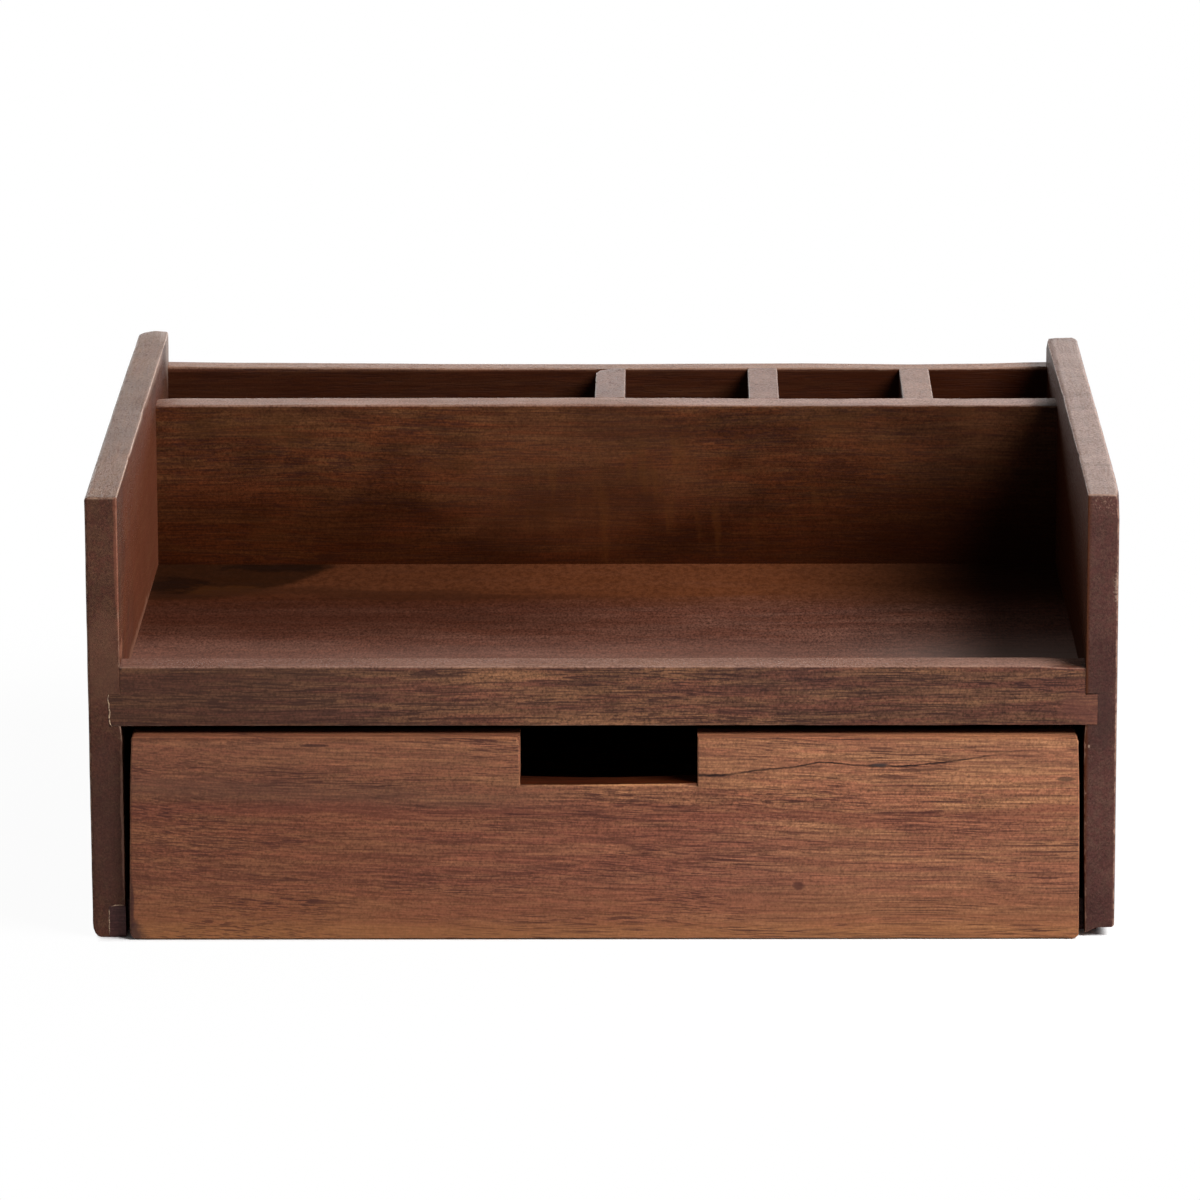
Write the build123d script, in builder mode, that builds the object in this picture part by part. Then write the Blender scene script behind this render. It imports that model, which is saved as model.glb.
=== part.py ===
"""Desk storage box of dark stained boards, in millimetres.

An open tray in front, a row of compartments behind it, and one drawer below.
The drawer has a finger notch cut into its top edge and slides on the bottom board.

X runs left to right, Y from front to back, Z up. The origin lies on the desk,
in the middle of the whole box with the drawer pushed in.
"""
import os

from build123d import *

# The case
case_width = 380.0
case_depth = 288.0
side_thickness = 12.0
left_front_height = 167.5   # the left side's top edge rises a little towards the back
left_back_height = 171.2
right_front_height = 168.3
right_back_height = 168.3
right_foot_rise = 1.2       # the right side is cut short and stands off the desk
inner_height = 157.5        # top of the partition, the dividers and the back panel

# The boards between the sides
bottom_thickness = 12.0
drawer_bay_height = 69.0    # clear height between the bottom board and the shelf
shelf_thickness = 12.0
rail_thickness = 13.0
rail_lip = 10.7             # how far the rail stands above the shelf
partition_thickness = 14.0
back_thickness = 10.0

# The compartments behind the tray
compartment_depth = 56.0
small_width = 49.0
divider_thickness = 12.0
divider_count = 3

# Joints between the boards
housing_depth = 4.5         # of the shelf and the rail's tongues in the sides
rebate_depth = 5.6          # of the bottom board in the sides' feet
tongue_overhang = 0.5       # of the bottom board's visible end past the left side's face
dowel_diameter = 6.0
dowel_play = 0.05           # all round a pin in its hole
dowel_end_gap = 0.5         # between a pin's end and the bottom of its hole
side_hole_depth = 8.0
end_grain_hole_depth = 13.0
thin_board_hole_depth = 6.0
partition_dowel_margin = 15.0
back_dowel_margin = 24.0
back_dowel_count = 2

brad_thickness = 1.8        # square shank, as on a cut brad
brad_head_width = 3.4       # the head stands out to both sides along Y
brad_head_height = 0.9
brad_length = 26.0
brad_play = 0.05            # all round a brad in the wood
brad_end_gap = 0.5          # beyond a brad's point
brad_count = 4              # along each edge of the bottom board
brad_margin = 22.0

# The drawer
drawer_proud = 4.0          # how far the front stands out of the case
drawer_front_thickness = 13.0
front_gap_left = 2.7
front_gap_right = 1.6
front_gap_top = 3.0
front_gap_floor = 0.3
drawer_box_gap = 3.0        # between a drawer side and the case
drawer_run_gap = 0.3        # between the drawer sides and the bottom board
drawer_back_gap = 0.5       # between the drawer and the back panel
drawer_front_board_gap = 1.0  # between the drawer front and the bottom board
drawer_side_height = 62.0
drawer_side_thickness = 10.0
drawer_back_thickness = 10.0
panel_thickness = 4.0
panel_groove_depth = 5.0
panel_play = 0.1            # above and below the panel in its groove
panel_end_play = 0.5        # between the panel's edge and the bottom of the groove
panel_height = 6.0          # of the panel above the drawer sides' lower edge
drawer_dowel_margin = 15.0

notch_width = 65.5
notch_depth = 19.2
notch_offset = 2.2          # the notch sits this far right of the middle
notch_corner = 0.8

panel_brad_count = 3        # up through the panel into the drawer back
panel_brad_margin = 40.0

# Rounded and eased edges
edge_ease = 0.8
rail_ease = 0.8
front_ease = 1.0
side_front_round = 1.2
side_back_round = 3.0
left_foot_round = 3.4
right_foot_round = 2.0
front_corner_round = 1.5
front_worn_corner_round = 3.5

# Places that follow from the sizes above
overall_depth = case_depth + drawer_proud
front_y = drawer_proud - overall_depth / 2
back_y = front_y + case_depth
inner_x = case_width / 2 - side_thickness
back_panel_y = back_y - back_thickness
partition_y = back_panel_y - compartment_depth - partition_thickness
partition_back_y = partition_y + partition_thickness
rail_back_y = front_y + rail_thickness
shelf_z = bottom_thickness + drawer_bay_height
shelf_top_z = shelf_z + shelf_thickness
rail_top_z = shelf_top_z + rail_lip

drawer_front_y = front_y - drawer_proud
drawer_front_back_y = drawer_front_y + drawer_front_thickness
bottom_front_y = drawer_front_back_y + drawer_front_board_gap
drawer_rear_y = back_panel_y - drawer_back_gap
drawer_outer_x = inner_x - drawer_box_gap
drawer_inner_x = drawer_outer_x - drawer_side_thickness
drawer_base_z = bottom_thickness + drawer_run_gap
drawer_top_z = drawer_base_z + drawer_side_height
panel_z = drawer_base_z + panel_height
panel_top_z = panel_z + panel_thickness
front_left_x = -inner_x + front_gap_left
front_right_x = inner_x - front_gap_right
front_base_z = front_gap_floor
front_top_z = shelf_z - front_gap_top

dowel_radius = dowel_diameter / 2
dowel_hole_radius = dowel_radius + dowel_play


def spread(low, high, count):
    """Evenly spaced places from low to high, both ends included."""
    if count == 1:
        return [(low + high) / 2]
    return [low + (high - low) * step / (count - 1) for step in range(count)]


partition_dowel_z = [shelf_top_z + partition_dowel_margin, inner_height - partition_dowel_margin]
back_dowel_z = spread(back_dowel_margin, inner_height - back_dowel_margin, back_dowel_count)
divider_dowel_z = (shelf_top_z + inner_height) / 2
partition_mid_y = partition_y + partition_thickness / 2
back_mid_y = back_panel_y + back_thickness / 2
drawer_dowel_z = [panel_top_z + drawer_dowel_margin, drawer_top_z - drawer_dowel_margin]
drawer_side_mid_x = (drawer_outer_x + drawer_inner_x) / 2
drawer_back_mid_y = drawer_rear_y - drawer_back_thickness / 2
brad_x = inner_x + rebate_depth / 2
brad_y = spread(bottom_front_y + brad_margin, back_panel_y - brad_margin, brad_count)
brad_places = [(x, y) for x in (-brad_x, brad_x) for y in brad_y]
panel_brad_reach = drawer_inner_x - panel_brad_margin
panel_brad_places = [
    (x, drawer_back_mid_y) for x in spread(-panel_brad_reach, panel_brad_reach, panel_brad_count)
]
divider_x = [
    inner_x - (small_width + divider_thickness) * number + divider_thickness / 2
    for number in range(divider_count, 0, -1)
]


def block(low, high, mode=Mode.ADD):
    """A plain block between two opposite corners, added to the part being built."""
    middle = [(a + b) / 2 for a, b in zip(low, high)]
    size = [abs(b - a) for a, b in zip(low, high)]
    with Locations(tuple(middle)):
        Box(*size, mode=mode)


def drill_x(x, y, z, depth, into):
    """A dowel hole from the face at x, running along X towards into (+1 or -1)."""
    with Locations((x + into * depth / 2, y, z)):
        Cylinder(dowel_hole_radius, depth, rotation=(0, 90, 0), mode=Mode.SUBTRACT)


def drill_y(x, y, z, depth, into):
    """A dowel hole from the face at y, running along Y towards into (+1 or -1)."""
    with Locations((x, y + into * depth / 2, z)):
        Cylinder(dowel_hole_radius, depth, rotation=(90, 0, 0), mode=Mode.SUBTRACT)


def brad(x, y, z):
    """A cut brad with the underside of its head at the height z, pointing up."""
    half = brad_thickness / 2
    block((x - half, y - half, z), (x + half, y + half, z + brad_length))
    head = brad_head_width / 2
    block((x - half, y - head, z), (x + half, y + head, z + brad_head_height))


def brad_hole(x, y, z):
    """The hole that a brad whose head lies at the height z leaves in the wood."""
    half = brad_thickness / 2 + brad_play
    tip = z + brad_length + brad_end_gap
    block((x - half, y - half, z), (x + half, y + half, tip), Mode.SUBTRACT)
    head = brad_head_width / 2 + brad_play
    seat = z + brad_head_height + brad_play
    block((x - half, y - head, z), (x + half, y + head, seat), Mode.SUBTRACT)


def dowel_along_x(x, y, z, hole_before, hole_after):
    """A dowel pin across the joint plane at x."""
    low = x - hole_before + dowel_end_gap
    high = x + hole_after - dowel_end_gap
    with Locations(((low + high) / 2, y, z)):
        Cylinder(dowel_radius, high - low, rotation=(0, 90, 0))


def dowel_along_y(x, y, z, hole_before, hole_after):
    """A dowel pin across the joint plane at y."""
    low = y - hole_before + dowel_end_gap
    high = y + hole_after - dowel_end_gap
    with Locations((x, (low + high) / 2, z)):
        Cylinder(dowel_radius, high - low, rotation=(90, 0, 0))


def save(piece, name):
    """Label a finished piece and write it under its own name."""
    piece.part.label = name
    export_step(piece.part, f"parts/{name}.step")


os.makedirs("parts", exist_ok=True)


# Sides: boards with rounded uprights and feet, housed for shelf and rail
for name, hand, foot_z, foot_round, rebate_y, front_height, back_height in [
    ("left_side", -1, 0, left_foot_round, front_y, left_front_height, left_back_height),
    (
        "right_side", 1, right_foot_rise, right_foot_round, bottom_front_y,
        right_front_height, right_back_height,
    ),
]:
    face_x = hand * inner_x
    outer_x = hand * case_width / 2
    middle_x = (face_x + outer_x) / 2
    top_z = max(front_height, back_height)
    with BuildPart() as side:
        with BuildSketch(Plane.YZ.offset(face_x)):
            with BuildLine():
                Polyline(
                    (front_y, foot_z),
                    (back_y, foot_z),
                    (back_y, back_height),
                    (front_y, front_height),
                    close=True,
                )
            make_face()
        extrude(amount=hand * side_thickness)
        with BuildSketch(Plane.XY):
            with Locations((middle_x, (front_y + back_y) / 2)):
                Rectangle(side_thickness, case_depth)
            corners = vertices().group_by(Axis.Y)
            fillet(corners[0], side_front_round)
            fillet(corners[-1], side_back_round)
        extrude(amount=top_z, mode=Mode.INTERSECT)
        with BuildSketch(Plane.XZ.offset(-front_y)):
            with Locations((middle_x, (foot_z + top_z) / 2)):
                Rectangle(side_thickness, top_z - foot_z)
            fillet(vertices().sort_by(Axis((0, 0, 0), (hand, -1, 0)))[-1], foot_round)
        extrude(amount=-case_depth, mode=Mode.INTERSECT)
        fillet(faces().sort_by(Axis.Z)[-1].edges(), edge_ease)
        block(
            (face_x, front_y, shelf_z),
            (face_x + hand * housing_depth, back_panel_y, shelf_top_z),
            Mode.SUBTRACT,
        )
        block(
            (face_x, rebate_y, foot_z),
            (face_x + hand * rebate_depth, back_panel_y, bottom_thickness),
            Mode.SUBTRACT,
        )
        for z in partition_dowel_z:
            drill_x(face_x, partition_mid_y, z, side_hole_depth, hand)
        for z in back_dowel_z:
            drill_x(face_x, back_mid_y, z, side_hole_depth, hand)
        for y in brad_y:
            brad_hole(hand * brad_x, y, 0)
    save(side, name)


# Bottom board: fills the rebates, and its left end shows at the case's front
with BuildPart() as bottom_board:
    block(
        (-inner_x - rebate_depth, bottom_front_y, 0),
        (inner_x + rebate_depth, back_panel_y, bottom_thickness),
    )
    block(
        (-inner_x - rebate_depth, front_y, 0),
        (-inner_x + tongue_overhang, bottom_front_y, bottom_thickness),
    )
    for x, y in brad_places:
        brad_hole(x, y, 0)
save(bottom_board, "bottom_board")


# Shelf: the floor of the tray and of the compartments, let into both sides
with BuildPart() as shelf_board:
    block(
        (-inner_x - housing_depth, rail_back_y, shelf_z),
        (inner_x + housing_depth, back_panel_y, shelf_top_z),
    )
save(shelf_board, "shelf_board")


# Front rail: stands above the shelf as the tray's lip, with a tongue at each end
with BuildPart() as front_rail:
    with BuildSketch(Plane.XZ.offset(-front_y)):
        with BuildLine():
            Polyline(
                (-inner_x - housing_depth, shelf_z),
                (inner_x + housing_depth, shelf_z),
                (inner_x + housing_depth, shelf_top_z),
                (inner_x, shelf_top_z),
                (inner_x, rail_top_z),
                (-inner_x, rail_top_z),
                (-inner_x, shelf_top_z),
                (-inner_x - housing_depth, shelf_top_z),
                close=True,
            )
        make_face()
    extrude(amount=-rail_thickness)
    fillet(faces().sort_by(Axis.Z)[-1].edges().filter_by(Axis.X), rail_ease)
save(front_rail, "front_rail")


# Partition: parts the tray from the compartments, pinned to the sides and the dividers
with BuildPart() as partition:
    block((-inner_x, partition_y, shelf_top_z), (inner_x, partition_back_y, inner_height))
    fillet(faces().sort_by(Axis.Z)[-1].edges().filter_by(Axis.X), edge_ease)
    for z in partition_dowel_z:
        drill_x(-inner_x, partition_mid_y, z, end_grain_hole_depth, 1)
        drill_x(inner_x, partition_mid_y, z, end_grain_hole_depth, -1)
    for x in divider_x:
        drill_y(x, partition_back_y, divider_dowel_z, side_hole_depth, -1)
save(partition, "partition")


# Back panel: closes the drawer bay and the compartments, pinned between the sides
with BuildPart() as back_panel:
    block((-inner_x, back_panel_y, 0), (inner_x, back_y, inner_height))
    fillet(faces().sort_by(Axis.Z)[-1].edges().filter_by(Axis.X), edge_ease)
    for z in back_dowel_z:
        drill_x(-inner_x, back_mid_y, z, end_grain_hole_depth, 1)
        drill_x(inner_x, back_mid_y, z, end_grain_hole_depth, -1)
    for x in divider_x:
        drill_y(x, back_panel_y, divider_dowel_z, thin_board_hole_depth, 1)
save(back_panel, "back_panel")


# Dividers: short boards with upright grain between the partition and the back panel
for number, x in enumerate(divider_x, start=1):
    with BuildPart() as divider:
        block(
            (x - divider_thickness / 2, partition_back_y, shelf_top_z),
            (x + divider_thickness / 2, back_panel_y, inner_height),
        )
        fillet(faces().sort_by(Axis.Z)[-1].edges().filter_by(Axis.Y), edge_ease)
        drill_y(x, partition_back_y, divider_dowel_z, end_grain_hole_depth, 1)
        drill_y(x, back_panel_y, divider_dowel_z, end_grain_hole_depth, -1)
    save(divider, f"divider_{number}")


# Pins of the case: beech dowels across the joints
with BuildPart() as partition_dowels:
    for z in partition_dowel_z:
        dowel_along_x(-inner_x, partition_mid_y, z, side_hole_depth, end_grain_hole_depth)
        dowel_along_x(inner_x, partition_mid_y, z, end_grain_hole_depth, side_hole_depth)
save(partition_dowels, "partition_dowels")

with BuildPart() as back_panel_dowels:
    for z in back_dowel_z:
        dowel_along_x(-inner_x, back_mid_y, z, side_hole_depth, end_grain_hole_depth)
        dowel_along_x(inner_x, back_mid_y, z, end_grain_hole_depth, side_hole_depth)
save(back_panel_dowels, "back_panel_dowels")

with BuildPart() as divider_dowels:
    for x in divider_x:
        dowel_along_y(x, partition_back_y, divider_dowel_z, side_hole_depth, end_grain_hole_depth)
        dowel_along_y(x, back_panel_y, divider_dowel_z, end_grain_hole_depth, thin_board_hole_depth)
save(divider_dowels, "divider_dowels")


# Cut brads: driven up through the bottom board's edges, with their heads flush below
with BuildPart() as bottom_brads:
    for x, y in brad_places:
        brad(x, y, 0)
save(bottom_brads, "bottom_brads")


# Drawer front: a thick board with the finger notch in its top edge
with BuildPart() as drawer_front:
    with BuildSketch(Plane.XZ.offset(-drawer_front_y)):
        with Locations(((front_left_x + front_right_x) / 2, (front_base_z + front_top_z) / 2)):
            Rectangle(front_right_x - front_left_x, front_top_z - front_base_z)
        worn_corner = vertices().sort_by(Axis((0, 0, 0), (-1, -1, 0)))[-1]
        sound_corners = vertices().sort_by(Axis((0, 0, 0), (-1, -1, 0)))[:-1]
        fillet(worn_corner, front_worn_corner_round)
        fillet(sound_corners, front_corner_round)
        with BuildSketch(mode=Mode.PRIVATE) as notch:
            with Locations((notch_offset, front_top_z)):
                Rectangle(notch_width, notch_depth * 2)
            fillet(notch.vertices().group_by(Axis.Y)[0], notch_corner)
        add(notch.sketch, mode=Mode.SUBTRACT)
    extrude(amount=-drawer_front_thickness)
    fillet(faces().sort_by(Axis.Y)[0].edges(), front_ease)
    groove_half_width = drawer_inner_x + panel_groove_depth
    groove_y = drawer_front_back_y - panel_groove_depth
    block(
        (-groove_half_width, groove_y, panel_z - panel_play),
        (groove_half_width, drawer_front_back_y, panel_top_z + panel_play),
        Mode.SUBTRACT,
    )
    for x in (-drawer_side_mid_x, drawer_side_mid_x):
        for z in drawer_dowel_z:
            drill_y(x, drawer_front_back_y, z, side_hole_depth, -1)
save(drawer_front, "drawer_front")


# Drawer sides: butt against the front's back face and run to the drawer's rear
for name, hand in [("drawer_side_left", -1), ("drawer_side_right", 1)]:
    with BuildPart() as drawer_side:
        block(
            (hand * drawer_inner_x, drawer_front_back_y, drawer_base_z),
            (hand * drawer_outer_x, drawer_rear_y, drawer_top_z),
        )
        fillet(faces().sort_by(Axis.Z)[-1].edges().filter_by(Axis.Y), edge_ease)
        block(
            (hand * drawer_inner_x, drawer_front_back_y, panel_z - panel_play),
            (hand * (drawer_inner_x + panel_groove_depth), drawer_rear_y, panel_top_z + panel_play),
            Mode.SUBTRACT,
        )
        for z in drawer_dowel_z:
            drill_y(hand * drawer_side_mid_x, drawer_front_back_y, z, end_grain_hole_depth, 1)
            drill_x(hand * drawer_inner_x, drawer_back_mid_y, z, thin_board_hole_depth, hand)
    save(drawer_side, name)


# Drawer back: stands on the panel, so the panel can be slid in beneath it
with BuildPart() as drawer_back:
    block(
        (-drawer_inner_x, drawer_rear_y - drawer_back_thickness, panel_top_z + panel_play),
        (drawer_inner_x, drawer_rear_y, drawer_top_z),
    )
    fillet(faces().sort_by(Axis.Z)[-1].edges().filter_by(Axis.X), edge_ease)
    for z in drawer_dowel_z:
        drill_x(-drawer_inner_x, drawer_back_mid_y, z, end_grain_hole_depth, 1)
        drill_x(drawer_inner_x, drawer_back_mid_y, z, end_grain_hole_depth, -1)
    for x, y in panel_brad_places:
        brad_hole(x, y, panel_z)
save(drawer_back, "drawer_back")


# Drawer bottom: a thin panel held in the grooves of the front and the sides
with BuildPart() as drawer_bottom:
    panel_half_width = drawer_inner_x + panel_groove_depth - panel_end_play
    block(
        (-panel_half_width, drawer_front_back_y - panel_groove_depth + panel_end_play, panel_z),
        (panel_half_width, drawer_rear_y, panel_top_z),
    )
    for x, y in panel_brad_places:
        brad_hole(x, y, panel_z)
save(drawer_bottom, "drawer_bottom")


# Pins of the drawer's corners
with BuildPart() as drawer_front_dowels:
    for x in (-drawer_side_mid_x, drawer_side_mid_x):
        for z in drawer_dowel_z:
            dowel_along_y(x, drawer_front_back_y, z, side_hole_depth, end_grain_hole_depth)
save(drawer_front_dowels, "drawer_front_dowels")

with BuildPart() as drawer_back_dowels:
    for z in drawer_dowel_z:
        dowel_along_x(-drawer_inner_x, drawer_back_mid_y, z, thin_board_hole_depth, end_grain_hole_depth)
        dowel_along_x(drawer_inner_x, drawer_back_mid_y, z, end_grain_hole_depth, thin_board_hole_depth)
save(drawer_back_dowels, "drawer_back_dowels")


# Cut brads of the drawer: up through the panel into the drawer back's lower edge
with BuildPart() as drawer_bottom_brads:
    for x, y in panel_brad_places:
        brad(x, y, panel_z)
save(drawer_bottom_brads, "drawer_bottom_brads")
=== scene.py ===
import math

import bmesh
import bpy
import numpy as np
from mathutils import Matrix, Vector, noise


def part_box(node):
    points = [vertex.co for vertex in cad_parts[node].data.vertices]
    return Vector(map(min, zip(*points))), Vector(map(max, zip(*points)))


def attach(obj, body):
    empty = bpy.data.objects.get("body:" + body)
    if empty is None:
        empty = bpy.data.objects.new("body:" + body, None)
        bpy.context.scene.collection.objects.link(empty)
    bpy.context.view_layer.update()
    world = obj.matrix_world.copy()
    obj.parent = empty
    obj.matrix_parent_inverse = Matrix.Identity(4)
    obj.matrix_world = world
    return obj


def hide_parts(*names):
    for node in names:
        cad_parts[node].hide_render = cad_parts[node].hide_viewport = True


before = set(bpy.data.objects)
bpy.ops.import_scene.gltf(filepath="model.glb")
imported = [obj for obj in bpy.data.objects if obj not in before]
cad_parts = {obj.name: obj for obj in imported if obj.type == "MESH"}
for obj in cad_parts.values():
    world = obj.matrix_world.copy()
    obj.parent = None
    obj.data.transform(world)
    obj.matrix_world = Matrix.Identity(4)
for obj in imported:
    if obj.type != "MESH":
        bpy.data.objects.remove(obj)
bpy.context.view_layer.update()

# The two sides are 12 mm boards of a dark stained hardwood, with the grain from front to back.
# Each is housed for the shelf and the rail and rebated for the bottom board, then sanded by
# hand: the arrises are soft, a little wavy and worn pale in places.


def corners_of(node):
    """The lowest and highest corners of a CAD node, to a tenth of a millimetre."""
    return [tuple(round(c * 1000, 1) for c in corner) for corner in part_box(node)]


(_, front_y, _), (_, back_y, left_top_z) = corners_of("left_side")
(side_face, _, right_foot_z), (side_outer, _, _) = corners_of("right_side")
(_, _, shelf_z), (housing_x, back_panel_y, shelf_top_z) = corners_of("shelf_board")
_, (_, rail_back_y, rail_top_z) = corners_of("front_rail")
_, (rebate_x, _, bottom_top_z) = corners_of("bottom_board")
right_rebate_y, left_rise = -132.0, 3.7
bend_z, foot_bend_z = 103.0, 38.0


class Value:
    """A shader socket. A sum on it adds the node that works the sum out."""

    def __init__(self, tree, socket=None):
        self.tree = tree
        self.socket = socket

    def node(self, kind, settings, sockets, out=0):
        """One more node: its settings or curve points first, then its sockets' values or links."""
        made = self.tree.nodes.new(kind)
        for name, setting in settings.items():
            if name == "points":
                curve = made.mapping.curves[0].points
                for point in setting[1:-1]:
                    curve.new(*point)
                curve[0].location = setting[0]
                curve[len(curve) - 1].location = setting[-1]
                made.mapping.update()
            else:
                setattr(made, name, setting)
        for name, value in sockets.items():
            if isinstance(value, Value):
                self.tree.links.new(value.socket, made.inputs[name])
            else:
                made.inputs[name].default_value = value
        return Value(self.tree, made.outputs[out])

    def join(self, operation, other, swapped=False):
        """This socket and another value under one operation, on numbers or on vectors."""
        kinds = [v.socket.type if isinstance(v, Value) else type(v).__name__ for v in (self, other)]
        pair = (other, self) if swapped else (self, other)
        if not {"VECTOR", "RGBA", "tuple"} & set(kinds):
            return self.node("ShaderNodeMath", {"operation": operation}, dict(enumerate(pair)))
        pair = [(v,) * 3 if isinstance(v, (int, float)) else v for v in pair]
        return self.node("ShaderNodeVectorMath", {"operation": operation}, dict(enumerate(pair)))

    def __add__(self, other):
        return self.join("ADD", other)

    def __sub__(self, other):
        return self.join("SUBTRACT", other)

    def __rsub__(self, other):
        return self.join("SUBTRACT", other, swapped=True)

    def __mul__(self, other):
        return self.join("MULTIPLY", other)

    def __truediv__(self, other):
        return self.join("DIVIDE", other)

    __radd__ = __add__
    __rmul__ = __mul__

    def size(self):
        return self.node("ShaderNodeVectorMath", {"operation": "LENGTH"}, {0: self}, out="Value")

    def part(self, axis):
        return self.node("ShaderNodeSeparateXYZ", {}, {0: self}, out="XYZ".index(axis))

    def distance_to(self, other):
        return self.node("ShaderNodeMath", {"operation": "ABSOLUTE"}, {0: self - other})

    def at_least(self, number):
        return self.join("MAXIMUM", number)

    def between(self, low, high):
        """0 at low, 1 at high and a soft step from one to the other."""
        return self.node(
            "ShaderNodeMapRange", {"interpolation_type": "SMOOTHSTEP"},
            {"Value": self, "From Min": low, "From Max": high},
        )

    def cloud(self, detail=2.0, roughness=0.5):
        """Smooth noise between 0 and 1 at this place, about one swell to each unit."""
        return self.node(
            "ShaderNodeTexNoise", {},
            {"Vector": self, "Scale": 1.0, "Detail": detail, "Roughness": roughness},
        )

    def stained(self, colour, amount):
        """This colour covered by another one to the given amount."""
        colour = colour if isinstance(colour, Value) else (*colour, 1.0)
        return self.node(
            "ShaderNodeMix", {"data_type": "RGBA"}, {0: amount, 6: self, 7: colour}, out=2
        )


class Timber:
    """Stained and oiled wood with its fibres along one axis, in millimetres of the object.

    Pale and warm fibres lie side by side in it, with deep bands and short dark pores. They may
    lean down from the left end by some millimetres. Bands, streaks and pores are given by their
    length along the fibres and their width across them.
    """

    def __init__(
        self, name, grain, seed, pale, warm, deep,
        band=(240, 9), streak=(45, 1.1), contrast=0.14, banded=0.45, lean=0.0, sway=4.0, spread=1.0,
        pores=0.7, pore_colour=(0.028, 0.010, 0.010), pore_size=(8.0, 0.5),
        cloudy=0.0, fleck=0.15, grit=0.9, hair=0.7,
    ):
        self.material = bpy.data.materials.new(name)
        self.material.use_nodes = True
        tree = self.material.node_tree
        self.shader = tree.nodes["Principled BSDF"]
        self.place = Value(tree).node("ShaderNodeTexCoord", {}, {}, out="Object") * 1000.0
        axis = "xyz".index(grain)
        across = tuple(0.0 if k == axis else 1.0 for k in range(3))
        run = (side_face - self.place.part(grain.upper())) / (2 * side_face)
        self.lean = run * run * lean
        seeded = self.place + (seed * 37.0, seed * 91.0, seed * 53.0) - self.lean * across

        def fibres(places, length, width, detail=2.0, roughness=0.5):
            """Noise drawn out along the grain, with swells of this length and width."""
            scale = tuple(1 / length if k == axis else 1 / (width * spread) for k in range(3))
            return (places * scale).cloud(detail, roughness)

        bend = (fibres(seeded, 150, 70) - 0.5) * 2.0 * sway
        bent = seeded + bend * Value(tree).node("ShaderNodeCombineXYZ", {}, dict(enumerate(across)))
        bands = fibres(bent, *band, 3.0, 0.6)
        streaks = fibres(bent, *streak, 1.5, 0.55)
        hairs = fibres(bent, 14, 0.6, 1.0, 0.6)
        crowd = fibres(bent, 60, 8, 2.0).between(0.36, 0.62)
        pore_length, pore_width = pore_size
        dashes = fibres(bent, pore_length, pore_width * 1.2, 0.5).between(0.56, 0.62)
        lines = fibres(bent + 31.7, pore_length * 3.2, pore_width * 1.2, 1.0).between(0.59, 0.65)
        self.pores = (dashes * (0.25 + 0.75 * crowd)).at_least(lines * 0.9)
        shade = bands * banded + streaks * (1.0 - banded)
        shade = shade.node(
            "ShaderNodeMapRange", {},
            {"Value": shade, "From Min": 0.5 - contrast, "From Max": 0.5 + contrast},
        )
        red = fibres(bent + 77.0, 50, 3.5, 3.0, 0.6).between(0.42, 0.58)
        flecks = fibres(bent + 11.0, 3.5, 0.7, 1.0).between(0.58, 0.70)
        self.speckle = fibres(self.place, 0.8, 0.8, 1.0, 0.6)
        base = Value(tree).node("ShaderNodeRGB", {}, {})
        base.socket.default_value = (*pale, 1.0)
        self.colour = base.stained(warm, red).stained(deep, 1.0 - shade)
        if cloudy:
            cloud = (seeded / (34.0, 20.0, 22.0)).cloud(3.0, 0.55).between(0.35, 0.65)
            self.colour = self.colour * (1.0 - cloudy + 2.0 * cloudy * cloud)
        self.colour = self.colour * (1.0 - 0.5 * (hair + grit) + hair * hairs + grit * self.speckle)
        self.stain(tuple(1.7 * c for c in pale), flecks * fleck)
        self.stain(pore_colour, self.pores * pores)
        self.rough = 0.40 + streaks * 0.16 + self.pores * 0.12
        self.height = streaks * 0.4 + hairs * 0.15 - self.pores * 0.6

    def stain(self, colour, amount):
        """Covers the wood to the given amount with a colour that hides its grain."""
        self.colour = self.colour.stained(colour, amount)

    def shade(self, tint, amount):
        """Darkens, lightens or tints the wood and leaves its grain to be seen."""
        self.colour = self.colour.stained(self.colour * tint, amount)

    def spot(self, centre, reach, ragged=0.5, swell=9.0):
        """1 in the middle of an oval patch with ragged edges, 0 outside of it."""
        away = ((self.place - centre) / reach).size()
        return (away + ((self.place / swell).cloud(3.0, 0.6) - 0.5) * 2.0 * ragged).between(1.0, 0.45)

    def wear(self, colour, amount, spread=7.0, start=0.6):
        """Pale rubbing along the arrises, stronger in some places than in others."""
        arris = self.place.node("ShaderNodeAttribute", {"attribute_name": "arris"}, {}, out="Fac")
        rubbed = arris + ((self.place / spread).cloud(3.0, 0.65) - 0.5) * 1.3
        self.stain(colour, rubbed.between(start, start + 0.35) * amount)

    def rubbed_top(self, level, colour, amount):
        """The top of the board made paler: partly sanded-back wood, partly a painted sheen."""
        uneven = 1.2 * (self.place / (40.0, 12.0, 12.0)).cloud(3.0, 0.65) + 2.4 * self.speckle - 0.8
        self.stain(colour, (self.place.part("Z") - level).between(-1.0, -0.35) * uneven * amount)

    def done(self, gloss=0.15, bump=0.06):
        """Links the layers to the shader and gives back the material. The bump is in millimetres."""
        lifted = self.height.node(
            "ShaderNodeBump", {},
            {"Strength": 1.0, "Distance": bump / 1000.0, "Height": self.height}, out="Normal",
        )
        for name, value in {"Base Color": self.colour, "Roughness": self.rough, "Normal": lifted}.items():
            self.height.tree.links.new(value.socket, self.shader.inputs[name])
        self.shader.inputs["Specular IOR Level"].default_value = gloss
        return self.material


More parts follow.
